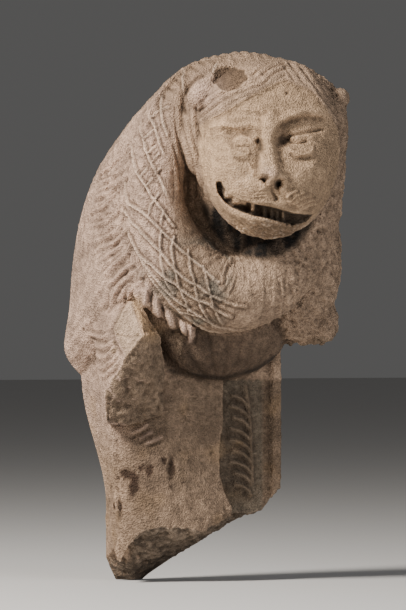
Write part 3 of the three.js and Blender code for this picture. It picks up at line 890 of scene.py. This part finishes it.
# Fine lines of the face: line, height and width
faceLines = [
    ([(18, 8), (28, 15), (44, 19.5), (58, 22), (74, 26)], -4, 2.4),       # crease over the right eye
    ([(24, 10), (34, 14.2), (48, 14.2), (58, 10)], 3.2, 2.0),             # its upper lid
    ([(23, 7.5), (36, 6.5), (50, 8.5)], -4.5, 1.7),                       # its slit
    ([(22, 1), (29, -6.5), (39, -10), (51, -8), (58, 2)], 3.2, 2.1),      # its lower lid
    ([(24, -7), (33, -14.5), (45, -16), (57, -11)], -2.4, 2.6),           # the hollow under that
    ([(-48, 6), (-39, 12), (-28, 11), (-20, 5)], 2.6, 2.3),               # left eye: lids, slit, hollow
    ([(-44, -4), (-34, -10), (-24, -7)], 3.0, 2.3),
    (leftEye["slit"], -3.4, 1.8),
    (leftEye["hollow"], -2.4, 2.4),
    ([(-56, 3), (-50, -3), (-40, -6)], 1.5, 2.4),
    ([(-66, -12), (-48, -7), (-34, -11), (-24, -16)], 1.8, 3.2),          # top of the left cheek
    ([(-64, 44), (-36, 46), (-9, 45)], -1.4, 4.0),                        # furrow over the left brow
    ([(-80, 27), (-57, 28), (-40, 26)], 1.4, 2.2),
    ([(3, -52), (4, -60), (10, -70)], -3.6, 2.4),                         # cleft of the lip
    ([(-18, -68), (2, -71), (16, -77), (25, -81), (40, -83), (56, -85)], 2.0, 2.0),
    ([(17, -40), (20, -47), (18, -54), (11, -56)], 6.0, 2.8),             # rims of the nostrils
    ([(-15, -38), (-15, -46), (-9, -51.5), (-2, -49), (1, -43)], 5.4, 2.8),
    ([(-24, -61), (-12, -59), (0, -58)], 1.3, 1.2),                       # whiskers
    ([(-26, -64), (-12, -63), (-1, -62)], 1.2, 1.2),
    ([(-28, -57), (-14, -55), (-3, -54)], 1.0, 1.2),
    ([(20, -66), (26, -59), (36, -55)], 4.4, 2.0),
    ([(23, -71), (33, -62), (47, -57)], 4.0, 1.8),
    ([(28, -74), (41, -65), (55, -61)], 3.8, 1.8),
    ([(32, -77), (47, -69), (61, -66)], 3.4, 1.7),
    ([(37, -80), (51, -74), (62, -71)], 3.0, 1.6),
    ([(-66, -78), (-50, -92), (-28, -102), (2, -110), (24, -110)], -1.2, 3.0),
]
facePits = [(22.5, 71, 2.6, 4), (-30, -33, 4, 1.5), (-22, -24, 3, 1.5)]   # middle, size and depth


def carveHead(points):
    u, v, w = headSpot(points)
    isFront = ease(w, 0, 25) * ((np.abs(u) < 100) & within(v, -122, 112))
    near = isFront > 0
    u, v = u[near], v[near]
    high = np.zeros(u.shape)
    for line, tall, width in faceLines:
        high += tall * stroke(u, v, line, width, 0.12)
    for cu, cv, size, deep in facePits:
        high -= deep * bump(u, v, cu, cv, size, size)
    past = v - heightOn(face["hairline"], u)
    across = np.where(u < face["parting"], 0.47 * u - 0.88 * v, 0.80 * u + 0.60 * v)
    bend = 2.2 * np.sin(0.05 * u + 0.07 * v) + 1.6 * waves(points[near], 18, 50)
    strand = np.abs(np.sin(math.pi * (across + bend) / 8)) ** 0.7 - 0.6
    tall = lerp(2.6, 5.4, ease(waves(points[near], 14, 52), -0.6, 0.4)) * lerp(1, 0.7, ease(u, 20, 30))
    high += band(past, 1, 5, 26, 40) * tall * strand
    hairEdge = face["hairline"][1:6]
    high += 1.6 * stroke(u, v, hairEdge, 1.8) - 0.6 * stroke(u, v, shifted(hairEdge, 1, -4), 2)
    return onlyNear(near, high) * isFront


# The left ear's outline, cut round, and the torn patch beside it
ear = {
    "outline": [(-106, 42), (-112, 56), (-111, 70), (-105, 82), (-93, 93), (-75, 99)],
    "lobe": [(-70, 62), (-78, 58), (-92, 48)], "torn": (-52, 92, 20, 18),
}


def tornPatch(points, u, v, w):
    cu, cv, ru, rv = ear["torn"]
    ragged = np.hypot((u - cu) / ru, (v - cv) / rv) + 0.2 * grain(points, 16, 2, 60)
    return (1 - ease(ragged, 0.9, 1.08)) * (w > -45)


def carveEar(points):
    u, v, w = headSpot(points)
    near = within(u, -125, -20) & within(v, 30, 118) & (w > -70)
    u, v, w = u[near], v[near], w[near]
    cuts = 4 * stroke(u, v, ear["outline"], 3, 0.15) + 2 * stroke(u, v, ear["lobe"], 2.4, 0.3)
    torn = tornPatch(points[near], u, v, w) * (2.6 + 0.8 * grain(points[near], 9, 2, 61))
    return onlyNear(near, -cuts - torn)


def carveSideHair(points):
    # ropes of hair that hang at the left of the face
    u, v, w = headSpot(points)
    near = within(u, -125, -80) & within(v, -72, 62) & within(w, -60, 40)
    phase = (u[near] + 0.12 * v[near] + 4 * np.sin(v[near] / 22)) / 9.5
    ropes = 3.2 * (np.abs(np.sin(math.pi * phase)) ** 0.7 - 0.6)
    return onlyNear(near, ropes) * band(v, -72, -50, 50, 62) * ease(-u, 80, 88)


def fracture(points, normals):
    # 1 on the broken faces, 0 on the carved ones
    x, y, z = points.T
    out, up = -normals[:, 1], normals[:, 2]
    foot = ease(-up, 0.25, 0.45) * (z < -215) * (1 - ease(np.abs(z - footEdge(x, y)), 9, 14))
    sheared = (x > block["right"] + 1) * (1 - ease(np.abs(z - shoulderEdge(x, y)), 2, 5)) * (up < -0.2)
    inStump = (y < -119) & within(z, -150, -14) & (x < -70)
    return np.clip(foot + sheared + inStump * ease(out - 0.35 * np.maximum(up, 0), 0.45, 0.7), 0, 1)


broken = fracture(points, normals)
detail = carveNet(points) + carveChest(points) + carveFlank(points, normals) + carveBib(points, normals)
detail += carveFrond(points, normals) + carveBlock(points, normals) + carveStump(points) + carveFringe(points)
detail += carveHead(points) + carveSideHair(points) + carveEar(points)
print("stone: carving cut")


# Wear: soft unevenness everywhere, a rough crust where the photo shows it, deep chips on the breaks

thinning = {"carvedSide": (-0.42, -0.9, 0.1), "least": -0.1, "carvedWeight": 0.98, "factor": 1.0}
wear = {"soft": 0.6, "crust": 1.5, "fine": 0.4, "finest": 0.4, "broken": 2.8}


def crusted(points):
    # how rough the skin is: the lower right of the mane and the upper left flank most, the face least
    x, y, z = points.T
    u, v, w = headSpot(points)
    isFace = ease(w, 10, 30) * (np.hypot(u / 95, v / 118) < 1)
    right = ease(x, -10, 60) * ease(-y, 120, 180) * ease(z, -40, 0)
    left = ease(-x, 120, 150) * ease(z, 60, 160)
    edge = ease(-x, 118, 130) * ease(-z, 150, 200)
    chin = ease(-v, 92, 100) * ease(w, 0, 20)
    isHead = (np.hypot(u / 128, (v - 10) / 112) < 1) * ease(w, -60, -40)
    smooth = np.maximum(0.85 * isFace, 0.6 * isHead)
    return np.clip(0.3 + right + 0.9 * left + 0.7 * edge, 0, 1.2) * (1 - smooth) + 0.06 + 1.6 * chin


rough = crusted(points)
detail += wear["soft"] * grain(points, 38, 2, 1) + wear["fine"] * grain(points, 6, 2, 5)
detail += wear["finest"] * waves(points, 2.6, 6)
detail += wear["crust"] * rough * (grain(points, 8, 3, 9) - 0.5 * np.abs(waves(points, 5, 12)))
detail += wear["broken"] * broken * (grain(points, 14, 3, 14) + 0.4 * waves(points, 4, 18) - 0.2)

pits = {"count": 1500, "least": 1.0, "most": 2.6, "depth": 0.9}
rng = np.random.default_rng(seed + 1)
tree = kdtree.KDTree(len(points))
for i, p in enumerate(points):
    tree.insert(p, i)
tree.balance()
chance = rough ** 2 * (points[:, 1] < -8) * (rough > 0.2)
for i in rng.choice(len(points), pits["count"], p=chance / chance.sum()):
    size = rng.uniform(pits["least"], pits["most"])
    for _, j, far in tree.find_range(points[i], 2 * size):
        detail[j] -= pits["depth"] * size * math.exp(-(far / size) ** 2)

isWall = onWall(points)
detail[isWall] = 0
points = points + normals * detail[:, None]
points[:, 1] = np.minimum(points[:, 1], 0)
points[isWall & (normals[:, 1] > 0.8), 1] = 0
points[:, 2] = np.maximum(points[:, 2], brokenFoot["lowest"])
movePoints(stone.data, points)
print("stone: surface worn")

# Thinned most where nothing fine is carved: the back, the top and the side away from the view
points, normals, edges = meshArrays(stone.data)
isCarved = normals @ thinning["carvedSide"] > thinning["least"]
sparing = stone.vertex_groups.new(name="thinned")
for chosen, weight in ((~isCarved, 1.0), (isCarved, thinning["carvedWeight"])):
    sparing.add(np.flatnonzero(chosen).tolist(), weight, "REPLACE")
triangles = 2 * len(stone.data.polygons)
withModifier("DECIMATE", ratio=min(1, mostTriangles / triangles), use_collapse_triangulate=True,
             vertex_group="thinned", vertex_group_factor=thinning["factor"])
stone.vertex_groups.clear()

# Only the largest closed skin is kept
bm = bmesh.new()
bm.from_mesh(stone.data)
unseen = set(bm.verts)
groups = []
while unseen:
    group = [unseen.pop()]
    for vert in group:
        for edge in vert.link_edges:
            other = edge.other_vert(vert)
            if other in unseen:
                unseen.discard(other)
                group.append(other)
    groups.append(group)
groups.sort(key=len)
bmesh.ops.delete(bm, geom=[vert for group in groups[:-1] for vert in group], context="VERTS")
bm.to_mesh(stone.data)
bm.free()
print("stone: thinned to", len(stone.data.polygons), "triangles,", len(groups) - 1, "loose skins dropped")


# Colour of each point, from where it lies, with shade painted by how hollow it is there

def colour(red, green, blue):
    return np.array([((c / 255 + 0.055) / 1.055) ** 2.4 for c in (red, green, blue)])


tones = {
    "stone": colour(158, 133, 111),
    "face": colour(176, 147, 118),
    # pink: the stone's own tone in places, and in part a painted highlight on the nose's tip
    "rose": colour(186, 158, 141),
    # grey-brown of the sunk panel: partly painted shade, partly patina
    "panel": colour(106, 96, 82),
    "broken": colour(132, 112, 93),
    "footBroken": colour(134, 117, 100),
    # dark: the block's own stains in its hollows, and painted shade on the sunk panel
    "stain": colour(58, 42, 32),
    "grey": colour(108, 104, 94),
    "ochre": colour(156, 128, 96),
    # light: a painted highlight on the net's cords, and the light grit of the chin and cheek
    "cord": colour(206, 182, 160),
    "lit": colour(172, 148, 124),
    # painted shade inside the grin
    "mouth": colour(72, 62, 52),
    "plain": colour(132, 111, 92),
    # painted shade in creases and hollows
    "crevice": colour(70, 56, 44),
    # near black brown: grime on the breaks, and painted shade in the nostrils, grooves and along the bib's
    # lower edge
    "soot": colour(46, 38, 31),
    # near black: a painted shadow under the jaw
    "pitch": colour(22, 19, 16),
    # the torn patch's own colour, also painted shade on the chin's underside, round the ear and beside the
    # net's cords
    "torn": colour(86, 68, 52),
    "border": colour(112, 94, 77),
    # dark brown: painted shade with dust on the bib under the roll, and a darker patch on the block's left
    "bib": colour(82, 67, 55),
}


def insideOf(u, v, corners):
    # 1 inside a convex outline whose corners run anticlockwise
    inside = np.ones(u.shape)
    for (au, av), (bu, bv) in zip(corners, corners[1:] + corners[:1]):
        across = ((bu - au) * (v - av) - (bv - av) * (u - au)) / math.hypot(bu - au, bv - av)
        inside = inside * ease(across, -1.5, 0.5)
    return inside


def onFace(u, v, w):
    inside = 1 - ease(np.hypot(u / 96, v / 120), 0.97, 1.02)
    return ease(w, 5, 30) * inside * (v < heightOn(face["hairline"], u))


def onBlockFront(points, normals):
    return (points[:, 2] < -84) & (points[:, 1] < -60) & (normals[:, 1] < -0.2)


# Coats of colour, each a tone and how much it covers at every point, laid in the order given

def bodyCoats(points, normals):
    x, y, z = points.T
    along, turn, off = maneSpot(points)
    yield "rose", 0.7 * ease(-x, 100, 140) * ease(z, -210, -110)
    yield "face", onFace(*headSpot(points))
    isRoll = np.exp(-(off / 6) ** 2)
    cords = cordsAt(along, turn, off) * isRoll * (along > 110) * (1 - onLobes(points))
    raised = np.clip(cords, 0, 1)
    # painted highlight on the raised cords of the net, and painted shade in the grooves beside them
    yield "cord", 0.75 * raised * (1 - ease(along, 250, 280))
    yield "torn", 0.45 * np.clip(-2.2 * cords, 0, 1)
    # painted shade on the bib under the overhanging roll, with dust, less towards the viewer's right
    onBib = np.exp(-(offBib(points) / 0.09) ** 2) * within(z, -100, 5) * (1 - isRoll) * (y < -95)
    yield "bib", lerp(1, 0.75, ease(x, -60, 60)) * onBib
    weathered = isRoll * band(along, 205, 225, 255, 275) * ease(grain(points, 22, 2, 21), -0.1, 0.5)
    yield "grey", 0.75 * weathered * (1 - 0.7 * raised)


def blockCoats(points, normals):
    x, y, z = points.T
    onFront = onBlockFront(points, normals)
    pastStep = x - heightOn(block["step"], z)
    onBorder = ease(x, 76, 82)
    isPanel = onFront * ease(pastStep, 2, 7) * (1 - onBorder)
    onLeaf = leaflets(x, z)
    # the sunk panel's tone: partly painted shade from the head and bib above it, partly its patina
    yield "panel", 0.85 * isPanel
    # painted shade on the sunk panel between the step and the midrib, off the leaflets
    yield "stain", 0.34 * isPanel * (1 - onLeaf) * (1 - ease(x, 48, 66)) * band(-z, 95, 115, 232, 250)
    yield "border", isPanel * np.maximum(0.6 * onLeaf, 0.8 * stroke(x, z, frond["midrib"], 2.6, 0.06))
    yield "border", 0.85 * onFront * onBorder
    isPlain = onFront * (1 - ease(pastStep, 0, 4)) * ease(x, -128, -110)
    yield "plain", isPlain * lerp(1, 0.45, ease(-z, 190, 300))
    yield "ochre", 0.35 * ease(-z, 84, 120) * ease(grain(points, 30, 2, 90), 0.1, 0.7)
    yield "bib", 0.6 * onFront * bump(x, z, -112, -195, 34, 62)


def brokenCoats(points, normals):
    # the broken faces, and the foreleg stump's lit facet with the light strip beside it; shade is painted in
    # the groove by the stump's edge, and the foot darkens towards its tip
    x, y, z = points.T
    a, _ = slantSpot(points)
    cracked = fracture(points, normals)
    isFoot = z < brokenFoot["colouredBelow"]
    yield "broken", cracked * ~isFoot
    onFoot = cracked * isFoot * np.maximum(ease(a, -74, -64), ease(-z, 318, 330))
    yield "footBroken", onFoot
    dark = ease(grain(points, 8, 3, 96), -0.3, 0.5)
    yield "soot", dark * np.where(isFoot, 0.6 * onFoot, 0.2 * cracked)
    # darker towards the foot's bottom tip
    yield "soot", 0.55 * ease(-z, 316, 342)
    onStump = (y < -110) & (x < -85) & within(z, -60, 30)
    inFacet = insideOf(a, z, stumpLines["facet"])
    yield "lit", 0.7 * onStump * inFacet
    yield "ochre", 0.9 * onStump * (1 - inFacet) * stroke(a, z, stumpLines["strip"], 9) ** 0.5
    # painted shade in the groove beside the stump's edge
    yield "soot", 0.35 * onStump * stroke(a + 4, z, stumpLines["edges"][0], 2.4, 0.1)


def markCoats(points, normals):
    # stains and ridges of the block, the fringe with shade painted in its grooves, and a shadow painted along
    # the bib's lower edge
    x, y, z = points.T
    a, _ = slantSpot(points)
    onFront = onBlockFront(points, normals)
    for cx, cz, rx, rz, _ in blockMarks["hollows"]:
        ragged = bump(x, z, cx, cz, rx, rz) + 0.35 * grain(points, 6, 2, 95)
        yield "stain", 0.92 * onFront * ease(ragged, 0.38, 0.5)
    for line in blockMarks["ridges"]:
        yield "rose", 0.45 * onFront * stroke(x, z, line, 3, 0.2)
    isFringe = onFringe(points)
    for line in fringe["leaves"]:
        yield "rose", 0.8 * isFringe * leafAt(a, z, line, 8)
    # painted shade in the grooves between the leaves
    for line in fringe["grooves"]:
        yield "soot", 0.4 * isFringe * stroke(a, z, line, 1.4, 0.2)
    # a painted shadow along the bib's lower edge, over the block
    overBlock = (y < -80) & within(z, -95, -40)
    yield "soot", 0.85 * overBlock * stroke(a, z, bib["gap"], 3.5, 0.05)


def headCoats(points, normals):
    u, v, w = headSpot(points)
    isFace = onFace(u, v, w)
    yield "torn", 0.85 * tornPatch(points, u, v, w)
    yield "rose", 0.8 * bump(u, v, -86, 72, 22, 24) * (w > -45)
    # painted shade in the groove cut round the ear
    yield "torn", 0.8 * stroke(u, v, ear["outline"], 3.5, 0.15) * (w > -70)
    # painted shade inside the grin, deepest where it is cut deepest
    yield "mouth", 0.9 * ease(mouthDepth(u, v), 8, 17) * (w > 20)
    # painted shade on the chin's underside
    yield "torn", 0.6 * isFace * ease(u, -50, 20) * ease(-v, 86, 104)
    # painted shade in the nostrils
    for cu, cv in face["nostrils"]:
        yield "soot", 0.9 * (w > 60) * bump(u, v, cu, cv - 1, 5, 4.6) ** 2
    # a painted shadow under the jaw, near black, with lighter streaks of drips
    shadowUnderJaw = 1 - ease(np.hypot((u + 12) / 84, (v + 58) / 92), 0.86, 1.0)
    shadowUnderJaw = shadowUnderJaw * band(w, -130, -105, -18, 4) * ease(-v, 56, 82)
    streaks = ease(waves(np.stack((u, 0.12 * v, 0.12 * w), 1), 5, 97), 0, 0.8)
    yield "pitch", shadowUnderJaw * (1 - 0.25 * streaks)
    # pinkish tip of the nose, partly a painted highlight
    yield "rose", 0.5 * isFace * bump(u, v, -1, -33, 10, 8)
    # painted shade in the creases by the nose and in the eyes' slits and hollows
    deep = stroke(u, v, face["leftCorner"], 3.4, 0.2) + bump(u, v, 19, 8, 8, 6)
    deep += 0.7 * stroke(u, v, leftEye["slit"], 2, 0.2) + 0.4 * stroke(u, v, leftEye["hollow"], 3, 0.2)
    yield "crevice", 0.6 * isFace * deep
    gritty = np.maximum(ease(-v, 88, 96) * ease(w, 0, 20), 0.6 * bump(u, v, -28, -30, 24, 30) * (w > 40))
    yield "cord", 0.55 * gritty * ease(waves(points, 2.4, 98), 0.35, 0.6)


def coated(tint, tone, amount):
    return lerp(tint, tones[tone], np.clip(amount, 0, 1)[:, None])


def paint(points, normals, edges):
    tint = np.tile(tones["stone"], (len(points), 1))
    for coats in (bodyCoats, blockCoats, brokenCoats, markCoats, headCoats):
        for tone, amount in coats(points, normals):
            tint = coated(tint, tone, amount)

    # soft patches, then painted shade in the hollows and a painted highlight on the ridges
    patches = ease(grain(points, 45, 3, 30), -0.5, 0.9)
    tint = tint * lerp(0.84, 1.14, patches)[:, None]
    near = ((smoothed(points, edges, 6) - points) * normals).sum(1)
    wide = ((smoothed(points, edges, 40) - points) * normals).sum(1)
    hollow = ease(near, 0.05, 0.7) * 0.5 + ease(wide, 0.3, 3.5) * 0.5
    ridge = ease(-near, 0.05, 0.6)
    return coated(tint, "crevice", 0.68 * hollow) * (1 + 0.22 * ridge)[:, None]


points, normals, edges = meshArrays(stone.data)
tint = paint(points, normals, edges)
layer = stone.data.attributes.new("tint", "FLOAT_COLOR", "POINT")
layer.data.foreach_set("color", np.hstack((tint, np.ones((len(tint), 1)))).ravel())
stone.data.polygons.foreach_set("use_smooth", np.ones(len(stone.data.polygons), dtype=bool))
movePoints(stone.data, points * metre)
print("stone: coloured")


# Sandstone: the painted tint, speckled and mottled, with a fine grain in relief

def addNode(tree, kind, inputs=None, **settings):
    node = tree.nodes.new(kind)
    for name, value in settings.items():
        setattr(node, name, value)
    for name, value in (inputs or {}).items():
        if isinstance(value, bpy.types.NodeSocket):
            tree.links.new(value, node.inputs[name])
        else:
            node.inputs[name].default_value = value
    return node


def sandstoneMaterial():
    material = bpy.data.materials.new("sandstone")
    material.use_nodes = True
    tree = material.node_tree
    tree.nodes.clear()

    def add(kind, inputs=None, **settings):
        return addNode(tree, "ShaderNode" + kind, inputs, **settings)

    place = add("TexCoord").outputs["Object"]
    painted = add("Attribute", attribute_name="tint").outputs["Color"]
    speckle = add("TexNoise", {"Vector": place, "Scale": 420, "Detail": 4, "Roughness": 0.7})
    mottle = add("TexNoise", {"Vector": place, "Scale": 70, "Detail": 5, "Roughness": 0.65})
    speckleTone = add("MapRange", {
        "Value": speckle.outputs["Fac"], "From Min": 0.38, "From Max": 0.62, "To Min": 0.74, "To Max": 1.24})
    mottleTone = add("MapRange", {
        "Value": mottle.outputs["Fac"], "From Min": 0.36, "From Max": 0.64, "To Min": 0.78, "To Max": 1.2})
    both = add("Math", {0: speckleTone.outputs[0], 1: mottleTone.outputs[0]}, operation="MULTIPLY")
    toned = add("VectorMath", {0: painted, "Scale": both.outputs[0]}, operation="SCALE")
    grains = add("TexVoronoi", {"Vector": place, "Scale": 420, "Randomness": 1.0})
    rounded = add("Math", {0: grains.outputs["Distance"], 1: speckle.outputs["Fac"]}, operation="ADD")
    relief = add("Math", {0: rounded.outputs[0], 1: mottle.outputs["Fac"]}, operation="ADD")
    raised = add("Bump", {"Height": relief.outputs[0], "Strength": 1.0, "Distance": 0.0028})
    shader = add("BsdfPrincipled", {
        "Base Color": toned.outputs[0], "Normal": raised.outputs[0], "Roughness": 0.92,
        "Specular IOR Level": 0.25})
    end = add("OutputMaterial")
    tree.links.new(shader.outputs[0], end.inputs["Surface"])
    return material


stone.data.materials.clear()
stone.data.materials.append(sandstoneMaterial())
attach(stone, "root")
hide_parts("lion_protome")


# Floor, lights and camera

stage = {
    "floorZ": -0.352, "floorSize": 40, "azimuth": math.radians(25), "distance": 8.0,
    "aim": (0.0285, 0.150, 0.016), "lens": 357.7, "key": 308, "fill": 74,
}
bm = bmesh.new()
bmesh.ops.create_grid(bm, x_segments=1, y_segments=1, size=stage["floorSize"] / 2)
bmesh.ops.translate(bm, verts=bm.verts[:], vec=(0, 0, stage["floorZ"]))
floorMesh = bpy.data.meshes.new("floor")
bm.to_mesh(floorMesh)
bm.free()
floor = addObject("floor", floorMesh)
pale = bpy.data.materials.new("pale")
pale.use_nodes = True
pale.node_tree.nodes["Principled BSDF"].inputs["Base Color"].default_value = (0.58, 0.57, 0.56, 1)
pale.node_tree.nodes["Principled BSDF"].inputs["Roughness"].default_value = 0.9
floorMesh.materials.append(pale)

right = Vector((math.cos(stage["azimuth"]), -math.sin(stage["azimuth"]), 0))
toCamera = Vector((-math.sin(stage["azimuth"]), -math.cos(stage["azimuth"]), 0))
up = Vector((0, 0, 1))
aim = right * stage["aim"][0] + toCamera * stage["aim"][1] + up * stage["aim"][2]


def addLight(name, across, towards, height, size, watts, tone):
    light = bpy.data.lights.new(name, "AREA")
    light.shape = "DISK"
    light.size = size
    light.energy = watts
    light.color = tone
    lamp = addObject(name, light)
    lamp.location = aim + right * across + toCamera * towards + up * height
    lamp.rotation_euler = (lamp.location - aim).to_track_quat("Z", "Y").to_euler()


addLight("keyLight", -2.4, 1.95, 2.1, 0.9, stage["key"], (1, 0.95, 0.88))
addLight("fillLight", 2.2, 3.2, 0.6, 2.5, stage["fill"], (0.92, 0.95, 1))

world = bpy.data.worlds.new("studio")
world.use_nodes = True
world.node_tree.nodes["Background"].inputs["Color"].default_value = (0.72, 0.71, 0.70, 1)
world.node_tree.nodes["Background"].inputs["Strength"].default_value = 0.13
bpy.context.scene.world = world

camera = addObject("camera", bpy.data.cameras.new("camera"))
camera.data.sensor_fit = "VERTICAL"
camera.data.sensor_height = 36
camera.data.lens = stage["lens"]
camera.data.clip_end = 100
camera.location = aim + toCamera * stage["distance"]
camera.rotation_euler = toCamera.to_track_quat("Z", "Y").to_euler()
bpy.context.scene.camera = camera
print("scene: floor, lights and camera set")
